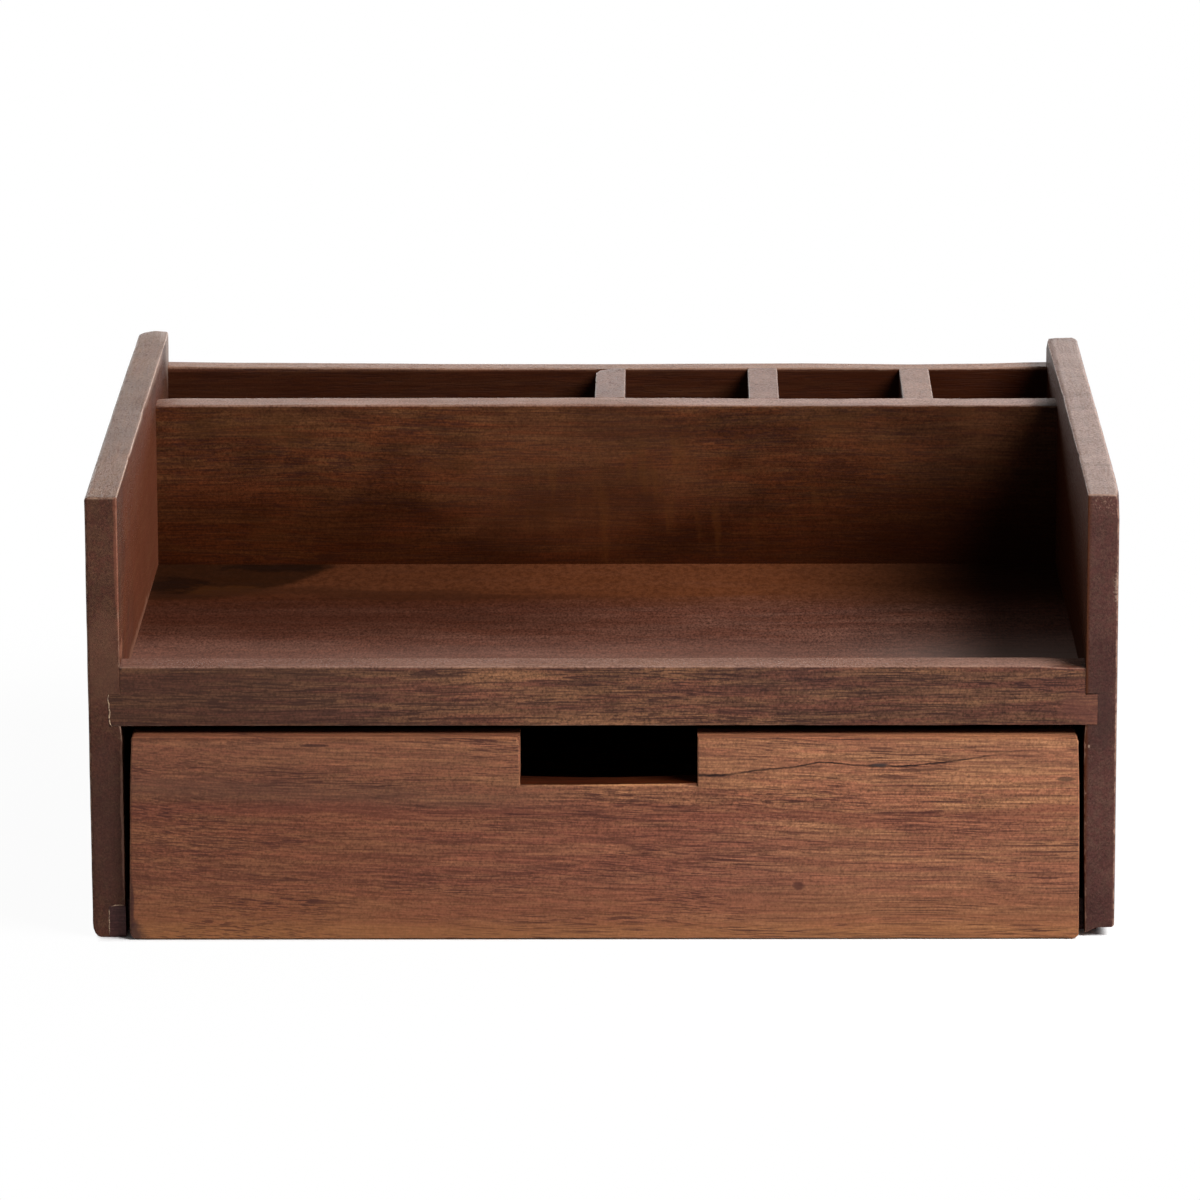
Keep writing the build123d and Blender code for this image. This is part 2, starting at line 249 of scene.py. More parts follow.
def rim(low, high, level, radius):
    """The four edges round a block at one height, each with its rounding."""
    corners = [(low[0], low[1]), (high[0], low[1]), (high[0], high[1]), (low[0], high[1])]
    return [
        ((*corners[k], level), (*corners[(k + 1) % 4], level), radius) for k in range(4)
    ]


def grid_lines(low, high, gone, cuts, margin):
    """The lines of a board's grid along X, Y and Z, at its corners and joints and between them."""
    cell = 6.0
    lines = []
    for axis in range(3):
        marks = {low[axis], high[axis], low[axis] + margin, high[axis] - margin}
        inner = [corner[axis] for box in gone for corner in box] + list(cuts[axis])
        marks |= {v for v in inner if low[axis] < v < high[axis]}
        marks = sorted(marks)
        line = [marks[0]]
        for a, b in zip(marks, marks[1:]):
            count = max(1, round((b - a) / cell))
            line += [a + (b - a) * k / count for k in range(1, count + 1)]
        lines.append(line)
    return lines


def shell(lines, gone):
    """The outer faces of a grid's cells, less the cells in the boxes that are gone."""
    counts = [len(line) - 1 for line in lines]
    solid = np.ones(counts, bool)
    middles = np.meshgrid(*[(np.array(line[1:]) + line[:-1]) / 2 for line in lines], indexing="ij")
    for a, b in gone:
        inside = [(m > min(u, v)) & (m < max(u, v)) for m, u, v in zip(middles, a, b)]
        solid &= ~(inside[0] & inside[1] & inside[2])
    made_shell = bmesh.new()
    made = {}

    def corner(*index):
        if index not in made:
            made[index] = made_shell.verts.new([lines[k][index[k]] for k in range(3)])
        return made[index]

    padded = np.pad(solid, 1)
    for axis in range(3):
        u, v = [(1, 2), (2, 0), (0, 1)][axis]
        for way in (0, 1):
            beside = np.roll(padded, 1 if way == 0 else -1, axis)[1:-1, 1:-1, 1:-1]
            for cell in np.argwhere(solid & ~beside):
                ring = []
                for du, dv in [(0, 0), (1, 0), (1, 1), (0, 1)]:
                    index = list(cell)
                    index[axis] += way
                    index[u] += du
                    index[v] += dv
                    ring.append(corner(*(int(n) for n in index)))
                made_shell.faces.new(ring if way else ring[::-1])
    return made_shell


def distances(points, eased):
    """How far each point is from each eased edge."""
    starts = np.array([a for a, b, r in eased], float)
    runs = np.array([b for a, b, r in eased], float) - starts
    offset = points[:, None, :] - starts
    share = np.clip((offset * runs).sum(2) / (runs * runs).sum(1), 0, 1)
    return np.linalg.norm(offset - share[..., None] * runs, axis=2)


def rounded_piece(name, made_shell, eased, radii):
    """An object of the shell, with each eased edge rounded to its own radius."""
    weights = made_shell.edges.layers.float.new("bevel_weight_edge")
    ends = np.array([[v.co[:] for v in e.verts] for e in made_shell.edges])
    on_edge = (distances(ends[:, 0], eased) < 1e-3) & (distances(ends[:, 1], eased) < 1e-3)
    for e, hits in zip(made_shell.edges, on_edge):
        if hits.any():
            e[weights] = radii[hits].max() / radii.max()
    mesh = bpy.data.meshes.new(name)
    made_shell.to_mesh(mesh)
    made_shell.free()
    piece = bpy.data.objects.new(name, mesh)
    bpy.context.scene.collection.objects.link(piece)
    rounding = piece.modifiers.new("rounding", "BEVEL")
    rounding.limit_method = "WEIGHT"
    rounding.width = radii.max()
    rounding.segments = 4
    rounding.use_clamp_overlap = False
    seen_piece = piece.evaluated_get(bpy.context.evaluated_depsgraph_get())
    rounded = bpy.data.meshes.new_from_object(seen_piece)
    piece.modifiers.clear()
    piece.data = rounded
    rounded.name = name
    return piece


def board(
    name, body, node, material, gone, eased,
    shape=None, dents=(), wave=0.35, cuts=((), (), ()),
):
    """A board as large as its CAD node, in millimetres, less the boxes that its joints take away.

    Its eased edges, each with its radius, are sanded a little unevenly by hand, by about the wave.
    A dent has a centre, a reach and a push. The shape is a function that bends the finished board.
    """
    clear_of_rounding, wear_width, uneven_reach = 0.8, 0.9, 2.5
    least_worn_radius, most_worn_radius = 0.35, 2.5
    long_swell, short_swell = 26, 9
    low, high = corners_of(node)
    radii = np.array([r for a, b, r in eased])
    lines = grid_lines(low, high, gone, cuts, radii.max() + clear_of_rounding)
    piece = rounded_piece(name, shell(lines, gone), eased, radii)
    mesh = piece.data
    nearest = distances(np.array([v.co[:] for v in mesh.vertices]), eased)
    rubbed = np.clip(1 - (nearest - radii * 0.45) / wear_width, 0, 1)
    arris = (rubbed * ((radii > least_worn_radius) & (radii < most_worn_radius))).max(1)
    mesh.attributes.new("arris", "FLOAT", "POINT").data.foreach_set("value", arris.astype(np.float32))
    near = np.clip(1 - nearest / (radii + uneven_reach), 0, 1).max(1)
    for v, share in zip(mesh.vertices, near):
        place = v.co.copy()
        swell = noise.noise(place / long_swell + Vector(low)) + 0.6 * noise.noise(place / short_swell)
        move = -v.normal * wave * float(share) * max(0.0, 0.35 + swell)
        for centre, reach, push in dents:
            gap = (place - Vector(centre)).length / reach
            if gap < 1:
                move += Vector(push) * (1 - gap * gap) ** 2
        place = Vector(min(max(c, a), b) for c, a, b in zip(place + move, low, high))
        v.co = (shape(place) if shape else place) / 1000
    mesh.update()
    mesh.shade_smooth()
    mesh.set_sharp_from_angle(angle=math.radians(32))
    piece.modifiers.new("flat faces", "WEIGHTED_NORMAL").keep_sharp = True
    mesh.materials.clear()
    mesh.materials.append(material)
    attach(piece, body)
    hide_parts(node)
    return piece


def part_way(value, start, end):
    """0 up to the start, 1 from the end on, and even between them."""
    return min(1.0, max(0.0, (value - start) / (end - start)))


def near_drawer(place):
    """1 on a side's inner front edge beside the drawer, 0 from the rail up and from 40 mm behind."""
    if abs(place.x) > side_face + 1.5:
        return 0.0
    return part_way(place.z, shelf_z - 0.5, shelf_z - 4.5) * part_way(place.y, front_y + 40, front_y)


def left_slope(place):
    """The left side's top rises to the back and leans in there. Its edge by the drawer stands in too."""
    place.z -= left_rise * part_way(place.y, back_y, front_y) * part_way(place.z, bend_z, left_top_z)
    lean = max(0.0, (place.z - bend_z) / 68) * part_way(place.y, 40, back_y)
    place.x += 0.5 * near_drawer(place) + 0.25 * lean
    return place


def right_bend(place):
    """The right side leans in at the back, and its foot is planed off towards the outer face.

    Its edge by the drawer stands in above the bend at its foot and out below it.
    """
    bow = 0.45 if place.z > foot_bend_z else 0.85
    place.x += near_drawer(place) * (foot_bend_z - place.z) / foot_bend_z * bow
    off = part_way(place.x, side_face + 0.5, side_face + 5) * part_way(place.y, 40, front_y)
    place.z += 2.3 * off * part_way(place.z, right_foot_z + 14, right_foot_z)
    outward = (place.x - side_face) / (side_outer - side_face)
    inner_lean = 1.4 * part_way(place.y, -100, back_y) ** 1.5
    outer_lean = 0.72 * part_way(place.y, front_y, 80) ** 1.7
    outer_lean += 0.33 * part_way(place.y, front_y + 30, front_y)
    place.x -= inner_lean * (1 - outward) + outer_lean * outward
    place.z -= 0.5 * max(0.0, (place.z - bend_z) / 65) * part_way(place.y, 60, back_y)
    return place


def mark_left(wood, face, outer, top, inward):
    """The left side's light and dark places, some of them painted sheen, highlight and gleam, and its worn
    edges.
    """
    front_x = -184
    # Painted sheen: the top is darker and bluer in its middle
    wood.shade((0.78, 0.84, 0.92), wood.spot((outer, -10, top), (30, 80, 12), 0.5, 12) * 0.6)
    wood.shade((1.08, 1.08, 1.09), wood.spot((front_x, front_y, 100), (12, 4, 40), 0.5, 14))
    # Red inner face, and a front that is browner beside the rail and darker at the foot
    wood.stain((0.135, 0.036, 0.015), inward * wood.spot((face, 0, 120), (5, 160, 80), 0.5, 40) * 0.6)
    wood.stain((0.125, 0.058, 0.036), wood.spot((front_x, front_y, 107), (9, 4, 22), 0.6, 9) * 0.5)
    wood.stain((0.052, 0.024, 0.020), wood.spot((front_x, front_y, 44), (10, 4, 42), 0.5, 14) * 0.4)
    # Pale rubbed lines beside the drawer and over the rail, and a painted highlight along the top's inner
    # arris that fades out to the back
    wood.stain((0.26, 0.13, 0.09), wood.spot((face, front_y, 44), (0.8, 2, 36), 0.9, 5) * 0.5)
    wood.stain((0.34, 0.14, 0.085), wood.spot((face, -134, 108), (2.2, 10, 5), 0.6, 6) * 0.4)
    wood.wear((0.38, 0.24, 0.17), 0.42, 2.5, 0.75)
    inner_arris_highlight = wood.spot((face, 0, top - 1.5), (1.3, 400, 3.4), 0.25, 9)
    wood.stain((0.38, 0.26, 0.205), inner_arris_highlight * wood.place.part("Y").between(125, 90) * 0.35)
    # A painted gleam at the inner back, the front's inner edge, and the joint with the shelf
    wood.stain((0.34, 0.26, 0.22), wood.spot((face, 150, 170), (6, 34, 26), 0.2, 14) * 0.6)
    wood.stain((0.22, 0.075, 0.045), wood.spot((face, front_y, 152), (1.8, 2.6, 48), 0.4, 9) * 0.55)
    wood.stain((0.24, 0.115, 0.075), wood.spot((face, -60, shelf_top_z), (1.5, 110, 4.0), 0.5, 7) * 0.5)


def mark_right(wood, face, outer, top, inward):
    """The right side's inner face, darkened as painted shade, and the small chips along its front edges."""
    # Painted shade over the inner face
    wood.stain((0.060, 0.015, 0.003), inward * 0.85)
    wood.stain((0.040, 0.020, 0.018), wood.spot((185, front_y, 86), (6, 4, 16), 0.8, 6) * 0.45)
    wood.stain((0.36, 0.25, 0.19), wood.spot((outer - 0.2, front_y, 82), (0.8, 2.5, 9), 1.6, 1.0) * 0.6)
    wood.stain((0.34, 0.24, 0.18), wood.spot((outer - 0.8, front_y, 134), (1.3, 2.5, 7), 1.8, 0.9) * 0.45)
    chips = (wood.place / 1.1).cloud(2.0, 0.7).between(0.54, 0.66)
    chipped = wood.spot((outer - 5, front_y, top), (8, 3, 12), 0.5, 5)
    wood.stain((0.26, 0.155, 0.115), chips * chipped * 0.5)
    wood.stain((0.30, 0.20, 0.15), wood.spot((face + 1.4, front_y, 73), (0.5, 2, 0.8), 0.4, 1) * 0.8)
    wood.wear((0.30, 0.18, 0.13), 0.6, 3.0, 0.72)


for hand, name, top_rise, foot_round, top_round, rebate_y, bend, mark in [
    (-1, "left_side", left_rise, 5.2, 1.6, front_y, left_slope, mark_left),
    (1, "right_side", 0.0, 1.6, 1.8, right_rebate_y, right_bend, mark_right),
]:
    low, high = corners_of(name)
    foot, top = low[2], high[2]
    # The right side is a little cooler in colour than the left
    wood = Timber(
        f"{name}_stained", "y", 3 + hand, pale=(0.098 - 0.004 * hand, 0.047, 0.030 + 0.004 * hand),
        warm=(0.094 - 0.004 * hand, 0.036, 0.025 + 0.003 * hand), deep=(0.055, 0.022, 0.018 + 0.002 * hand),
        band=(160, 16), contrast=0.21, pores=0.25, pore_size=(3.0, 0.6), cloudy=0.12, fleck=0.1, grit=0.8,
    )
    face, outer = hand * side_face, hand * side_outer
    inward = wood.place.part("X").between(hand * (side_face + 1.6), hand * (side_face + 0.2))
    slope_up = (wood.place.part("Y") - back_y) * (top_rise / (back_y - front_y))
    # The top is made paler: partly worn wood, partly a painted sheen
    top_wear_and_sheen_colour = (0.321 - 0.019 * hand, 0.216, 0.169 + 0.014 * hand)
    wood.rubbed_top(top + slope_up, top_wear_and_sheen_colour, 0.46 + 0.12 * hand)
    mark(wood, face, outer, top, inward)
    inner_front = (face, front_y)
    board(
        f"{name}_board", "case", name, wood.done(0.06),
        gone=[
            ((face, front_y, shelf_z), (hand * housing_x, back_panel_y, shelf_top_z)),
            ((face, rebate_y, foot), (hand * rebate_x, back_panel_y, bottom_top_z)),
        ],
        eased=rim(low, high, top, 0.6) + [
            ((outer, front_y, top), (outer, back_y, top), top_round),
            ((outer, front_y, foot), (outer, front_y, top), 1.2),
            ((*inner_front, foot), (*inner_front, shelf_z), 0.5),
            ((*inner_front, rail_top_z), (*inner_front, top), 0.6 if hand < 0 else 0.3),
            ((*inner_front, shelf_top_z), (*inner_front, rail_top_z), 0.15),
            ((face, back_y, foot), (face, back_y, top), 3.0),
            ((outer, back_y, foot), (outer, back_y, top), 4.4 if hand < 0 else 3.0),
            ((outer, front_y, foot), (outer, back_y, foot), foot_round),
            ((face, front_y, shelf_z), (hand * housing_x, front_y, shelf_z), 0.15),
            ((hand * housing_x, front_y, shelf_z), (hand * housing_x, front_y, shelf_top_z), 0.15),
            ((hand * housing_x, front_y, shelf_top_z), (face, front_y, shelf_top_z), 0.15),
        ],
        shape=bend, wave=0.35 if hand < 0 else 0.13,
        cuts=((), (), (foot_bend_z, rail_top_z)),
        dents=[
            ((face, back_y, top), 5, (-0.3, -0.3, -0.3)),
            ((outer, back_y, top), 5, (0.7, -0.3, -0.7)),
            ((face, 8, top), 16, (-0.4, 0, -0.3)),
            ((face, -74, top), 5, (-0.5, 0, -0.6)),
        ] if hand < 0 else [
            ((face, back_y - 2, top), 4, (0.6, -0.5, -0.5)),
            ((face, -74, top), 5, (0.6, 0, -0.5)),
            ((face, 30, top), 14, (0.3, 0, -0.2)),
            ((outer, front_y, top), 7, (-0.8, 0.2, -0.3)),
        ],
    )


# The bottom board carries the drawer and is glued and bradded up into the sides' rebates.
# On the left it runs on to the front of the case, where its darker end shows in the foot.
wood = Timber(
    "bottom_stained", "x", 9, pale=(0.070, 0.029, 0.026), warm=(0.070, 0.024, 0.021),
    deep=(0.036, 0.014, 0.013), pores=0.4,
)
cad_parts["bottom_board"].data.materials[0] = wood.done()


# The shelf is glued up of two boards, a red-brown one behind and a purplish one in front.
# It makes the floor of the tray and of the compartments, oiled and rubbed to a soft sheen.
wood = Timber(
    "shelf_stained", "x", 14, pale=(0.158, 0.070, 0.048), warm=(0.136, 0.049, 0.030),
    deep=(0.086, 0.031, 0.021), band=(260, 8), streak=(60, 1.0), contrast=0.26, pores=0.25,
    spread=3.0, cloudy=0.12, fleck=0.2, grit=2.4, hair=0.4,
)
depth, along = wood.place.part("Y"), wood.place.part("X")
ripple = ((wood.place * (1 / 70, 1 / 22, 1)).cloud(3.0, 0.6) - 0.5) * 2.0
# The red-brown back board, a dark tone that grows to the left behind, and the paler left front
wood.stain((0.122, 0.035, 0.0095), (depth + ripple * 14.0).between(-14, 20) * 0.8)
left_dark = (depth + ripple * 10.0).between(-90, -25) * along.between(230, -150)
wood.stain((0.050, 0.014, 0.0055), left_dark * 0.55)
wood.stain((0.250, 0.135, 0.104), depth.between(-45, -110) * along.between(120, 60) * 0.46)
# The back board's mottled figure, its paler right part and a darker belt on the left
mottle = (wood.place / (2.2, 4.5, 9.0)).cloud(4.0, 0.75)
mottled = mottle.between(0.38, 0.66) * (depth + ripple * 12.0).between(-35, 10)
wood.shade((0.58, 0.54, 0.50), mottled * 0.85)
wood.shade((1.16, 1.16, 1.17), depth.between(-40, 5) * along.between(-60, -20))
belt = depth.between(-75, -30) * depth.between(25, 5) * along.between(60, -60)
wood.shade((0.68, 0.57, 0.50), belt * 0.9)
# A dark leaf-shaped figure in its left back corner, with darker smoke in it
leaf_length = 74.0
leaf_edge = along.node(
    "ShaderNodeFloatCurve",
    {"points": [(0, 0.1), (0.28, 0.12), (0.64, 0.36), (0.80, 0.60), (0.91, 0.83), (1, 1)]},
    {"Value": (along + side_face) / leaf_length},
) * 66.0
leaf = (depth + ripple * 5.0 - leaf_edge).between(-4, 7) * along.between(-102, -114)
wood.stain((0.020, 0.0060, 0.0018), leaf * (0.75 + 0.4 * mottle))
for centre, reach in [((-170, 30), (17, 20)), ((-132, 60), (26, 9))]:
    wood.stain((0.004, 0.0016, 0.0010), wood.spot((*centre, 93), (*reach, 5), 0.8, 9) * 0.6)
wood.stain((0.055, 0.017, 0.004), wood.spot((-150, 22, 93), (20, 11, 5), 0.9, 7) * 0.5)
# A dark streak where the two boards meet, a painted shadow of the right side over the right back, a painted
# pool of light at the right front and a pale place at the left front
figure = (depth + ripple * 24.0 + along * 0.03).distance_to(14.0).between(9, 2)
wood.stain((0.034, 0.010, 0.004), figure * along.between(40, -60) * 0.55)
right_back_shadow = (along + ripple * 20.0).between(45, 150) * depth.between(-50, 30)
wood.stain((0.016, 0.005, 0.002), right_back_shadow * 0.92)
wood.stain((0.34, 0.235, 0.200), depth.between(-30, -105) * along.between(70, 165) * 0.85)
wood.stain((0.24, 0.11, 0.075), wood.spot((-172, -116, 93), (8, 16, 5), 0.6, 8) * 0.5)
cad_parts["shelf_board"].data.materials[0] = wood.done(0.07)


# The rail stops the tray's front edge. It is a brown board with long dark pores, its half-height
# tongues let into the sides, and its top arris is rubbed round by hand.
wood = Timber(
    "rail_stained", "x", 21, pale=(0.205, 0.096, 0.048), warm=(0.158, 0.057, 0.034),
    deep=(0.060, 0.023, 0.016), band=(150, 5), streak=(34, 0.85), contrast=0.17, pores=0.75,
    cloudy=0.16, fleck=0.15, grit=2.0,
)
leftward = wood.place.part("X").between(-30, -150)
wood.stain((0.150, 0.064, 0.038), leftward * 0.25)
wood.shade((0.64, 0.60, 0.57), leftward)
wood.shade((0.93, 0.90, 0.89), wood.place.part("X").between(40, 110))
wood.shade((1.12, 1.08, 1.02), wood.spot((-10, front_y, 90), (90, 9, 30), 0.4, 40))
wood.stain((0.130, 0.045, 0.032), wood.spot((180, front_y, 88), (14, 5, 9), 0.4, 6) * 0.5)
wood.stain((0.010, 0.004, 0.004), wood.spot((-177.6, front_y, 103.4), (0.6, 12, 1.6), 0.3, 4) * 0.9)
# The top is made paler, partly by worn wood and partly by a painted sheen, which is weaker and browner to
# the left
wood.rubbed_top(rail_top_z, (0.28, 0.152, 0.113), 0.62)
on_top = wood.place.part("Z").between(rail_top_z - 1.0, rail_top_z - 0.1)
wood.shade((0.87, 0.785, 0.775), leftward * on_top)
wood.wear((0.30, 0.19, 0.14), 0.35, 4.0, 0.75)
board(
    "rail_board", "case", "front_rail", wood.done(),
    gone=[
        ((-housing_x, front_y, shelf_top_z), (-side_face, rail_back_y, rail_top_z)),
        ((side_face, front_y, shelf_top_z), (housing_x, rail_back_y, rail_top_z)),
    ],
    eased=[
        ((-side_face, front_y, rail_top_z), (side_face, front_y, rail_top_z), 0.6),
        ((-side_face, rail_back_y, rail_top_z), (side_face, rail_back_y, rail_top_z), 0.8),
        ((-housing_x, front_y, shelf_z), (housing_x, front_y, shelf_z), 0.4),
        ((-housing_x, front_y, shelf_z), (-housing_x, front_y, shelf_top_z), 0.2),
        ((housing_x, front_y, shelf_z), (housing_x, front_y, shelf_top_z), 0.15),
        ((-side_face, front_y, shelf_top_z), (-side_face, front_y, rail_top_z), 0.1),
        ((side_face, front_y, shelf_top_z), (side_face, front_y, rail_top_z), 0.1),
    ],
    dents=[
        ((side_face - 4, front_y, rail_top_z), 18, (0, 0.4, -1.1)),
        ((-side_face, front_y, rail_top_z), 5, (0, 0.3, -0.5)),
    ],
)


# Pale glue and filler squeezed out of the left joints when the case was clamped. It was scraped
# off nearly flush and has dried in thin uneven lines.


def flecked(name, tone, fleck, low, high, least_rough, metallic=0.0):
    """A material in one tone with small flecks of another, where a noise goes from low to high."""
    material = bpy.data.materials.new(name)
    material.use_nodes = True
    tree = material.node_tree
    shader = tree.nodes["Principled BSDF"]
    shader.inputs["Metallic"].default_value = metallic
    start = Value(tree)
    spots = (start.node("ShaderNodeTexCoord", {}, {}, out="Object") * 1000.0).cloud(3.0, 0.7)
    base = start.node("ShaderNodeRGB", {}, {})
    base.socket.default_value = (*tone, 1.0)
    colour = base.stained(fleck, spots.between(low, high))
    tree.links.new(colour.socket, shader.inputs["Base Color"])
    tree.links.new((least_rough + spots * 0.3).socket, shader.inputs["Roughness"])
    return material


glue = flecked("dried_glue", (0.46, 0.31, 0.19), (0.12, 0.06, 0.04), 0.38, 0.62, 0.5)


def glue_line(name, points, radius, outward, proud):
    """A thin bead through points in millimetres that stands a little out of the wood."""
    step, sides = 0.6, 8
    path = []
    for a, b in zip(points, points[1:]):
        a, b = Vector(a), Vector(b)
        count = max(1, round((b - a).length / step))
        path += [a.lerp(b, k / count) for k in range(count)]
    path.append(Vector(points[-1]))
    outward = Vector(outward)
    bead = bmesh.new()
    rings = []
    for k, place in enumerate(path):
        run = (path[min(k + 1, len(path) - 1)] - path[max(k - 1, 0)]).normalized()
        sideways = run.cross(outward).normalized()
        ending = min(1.0, 0.3 + min(k, len(path) - 1 - k) * 0.35)
        thick = radius * ending * (1.0 + 1.0 * noise.noise(place * 1.1))
        sway = sideways * 0.25 * noise.noise(place * 0.45 + Vector((9, 0, 0)))
        middle = place + sway + outward * (proud * ending - thick)
        turns = [2 * math.pi * n / sides for n in range(sides)]
        ring = [middle + (sideways * math.cos(t) + outward * math.sin(t)) * thick for t in turns]
        rings.append([bead.verts.new(point / 1000) for point in ring])
    for a, b in zip(rings, rings[1:]):
        for n in range(sides):
            after = (n + 1) % sides
            bead.faces.new((a[n], a[after], b[after], b[n]))
    bead.faces.new(rings[0][::-1])
    bead.faces.new(rings[-1])
    bmesh.ops.recalc_face_normals(bead, faces=bead.faces)
    mesh = bpy.data.meshes.new(name)
    bead.to_mesh(mesh)
    bead.free()
    mesh.shade_smooth()
    mesh.materials.append(glue)
    piece = bpy.data.objects.new(name, mesh)
    bpy.context.scene.collection.objects.link(piece)
    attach(piece, "case")


tongue_joint = [
    (-182.3, shelf_top_z), (-182.7, 91.4), (-182.2, 88.6), (-181.9, 86.4), (-182.3, 84.2),
    (-182.0, 82.0), (-181.3, 80.9),
]
for name, outline, radius, proud in [
    ("tongue_filler", tongue_joint, 0.30, 0.10),
    ("foot_glue", [(-rebate_x, 0.9), (-rebate_x - 0.1, 5.0), (-rebate_x, 10.6)], 0.24, 0.08),
    ("foot_top_glue", [(-rebate_x + 0.8, 11.9), (-181.2, 12.3), (-178.2, 12.5)], 0.22, 0.08),
]:
    glue_line(name, [(x, front_y, z) for x, z in outline], radius, (0, -1, 0), proud)


# The partition stands on the shelf between tray and compartments, pinned to both sides. Its
# wood is a warmer brown with darker clouds, and its long top edge sinks a little to the right.
(_, partition_y, _), (_, partition_back_y, inner_top_z) = corners_of("partition")
dividers = [corners_of(f"divider_{number}") for number in (1, 2, 3)]
clear_runs = list(zip(
    [-side_face] + [high[0] for low, high in dividers],
    [low[0] for low, high in dividers] + [side_face],
))
wood = Timber(
    "partition_stained", "x", 33, pale=(0.120, 0.047, 0.018), warm=(0.120, 0.034, 0.012),
    deep=(0.052, 0.016, 0.007), band=(90, 10), streak=(32, 1.0), contrast=0.20, pores=0.5,
    cloudy=0.28, fleck=0.2, grit=1.6,
)
cloudy = ((wood.place * (1 / 60, 1, 1 / 22) + 5.5).cloud(3.0) - 0.5) * 40
olive = (wood.place / (34.0, 9.0, 15.0) + 3.0).cloud(3.0).between(0.54, 0.70)
wood.stain((0.112, 0.044, 0.014), olive * 0.3)
# It darkens downwards, a painted shadow of the right side darkens it to the right, and it has a few pale
# upright ribbons in the middle
wood.stain((0.020, 0.0042, 0.0006), (wood.place.part("Z") + cloudy).between(152, 84) * 0.8)
wood.stain((0.022, 0.007, 0.003), (wood.place.part("X") + cloudy).between(50, 190) * 0.6)
wood.stain((0.150, 0.056, 0.026), wood.spot((-8, partition_y, 130), (75, 9, 34), 0.5, 30) * 0.2)
ribbons = (wood.place / (6.0, 9.0, 34.0) + 9.0).cloud(2.0)
ribboned = ribbons.between(0.50, 0.68) * wood.spot((22, partition_y, 118), (75, 9, 30), 0.5, 20)
wood.stain((0.125, 0.046, 0.012), ribboned * 0.3)
wood.shade((1.02, 0.80, 0.58), (wood.place.part("Z") + cloudy * 0.5).between(142, 98))
wood.shade((0.90, 0.90, 0.94), wood.spot((0, partition_y, 112), (110, 9, 26), 0.5, 30))
wood.shade((1.06, 1.06, 1.06), wood.place.part("X").between(60, 0))
# The top is made paler, partly worn wood and partly a painted sheen that is brighter and bluer to the right
wood.rubbed_top(inner_top_z, (0.30, 0.165, 0.12), 0.55)
on_top = wood.place.part("Z").between(inner_top_z - 1.0, inner_top_z - 0.3)
wood.shade((1.22, 1.42, 1.65), wood.place.part("X").between(0, 60) * on_top)
wood.wear((0.30, 0.19, 0.14), 0.3, 4.0, 0.7)


def inner_top(place):
    """The tops behind the tray are not quite level: they sink and rise by up to a millimetre."""
    back = part_way(place.y, partition_back_y, back_panel_y)
    front_sink = 0.45 * part_way(place.x, 10, 60)
    back_sink = 0.5 * part_way(abs(place.x - 120), 40, 0) + 0.2 * part_way(abs(place.x + 10), 90, 0)
    back_rise = 0.6 * part_way(place.x, -60, -140) + 0.4 * part_way(abs(place.x), 150, side_face)
    sink = front_sink * (1 - back) + (back_sink - back_rise) * back
    place.z -= sink * part_way(place.z, shelf_top_z, inner_top_z)
    return place


board(
    "partition_board", "case", "partition", wood.done(0.06, 0.03), gone=[],
    eased=[
        ((a, partition_back_y, inner_top_z), (b, partition_back_y, inner_top_z), 0.8) for a, b in clear_runs
    ] + [((-side_face, partition_y, inner_top_z), (side_face, partition_y, inner_top_z), 0.8)],
    cuts=([x for run in clear_runs for x in run], (), ()),
    dents=[
        ((side_face - 4, partition_y, inner_top_z), 10, (0, 0.5, -0.6)),
        ((-side_face, partition_back_y + 1, inner_top_z), 3.6, (0, -0.8, -0.9)),
        ((-side_face, partition_y, inner_top_z), 4.0, (0, 0.6, -0.9)),
    ],
    shape=inner_top,
)


# The back panel closes the drawer bay and the compartments from the desk up. Inside it has painted
# shade, darker to the right, and is redder; its outer face is plain flat-sawn board.
wood = Timber(
    "back_stained", "x", 41, pale=(0.120, 0.048, 0.026), warm=(0.115, 0.037, 0.019),
    deep=(0.052, 0.018, 0.011), band=(200, 12), contrast=0.15, pores=0.55, cloudy=0.12,
)
# Painted shade over the inner face, deeper to the right
inside = wood.place.part("Y").between(back_panel_y + 1.6, back_panel_y + 0.4)
inside = inside * wood.place.part("Z").between(inner_top_z - 0.3, inner_top_z - 2.0)
wood.stain((0.026, 0.0045, 0.0006), inside * (0.70 + 0.16 * wood.place.part("X").between(20, 170)))
wood.shade((1.0, 0.95, 0.80), inside)
# The top is made paler, partly worn wood and partly a painted sheen
left_top_rise = 0.6 * wood.place.part("X").between(-60, -140)
wood.rubbed_top(inner_top_z + left_top_rise, (0.32, 0.175, 0.115), 0.55)
wood.wear((0.30, 0.19, 0.14), 0.5)
board(
    "back_panel_board", "case", "back_panel", wood.done(0.08), gone=[],
    eased=[
        ((-side_face, back_y, inner_top_z), (side_face, back_y, inner_top_z), 0.8),
    ] + [((a, back_panel_y, inner_top_z), (b, back_panel_y, inner_top_z), 0.5) for a, b in clear_runs],
    cuts=([x for run in clear_runs for x in run], (), ()),
    dents=[((side_face - 24, back_panel_y, inner_top_z), 18, (0, 0.6, -0.3))],
    shape=inner_top, wave=0.15,
)


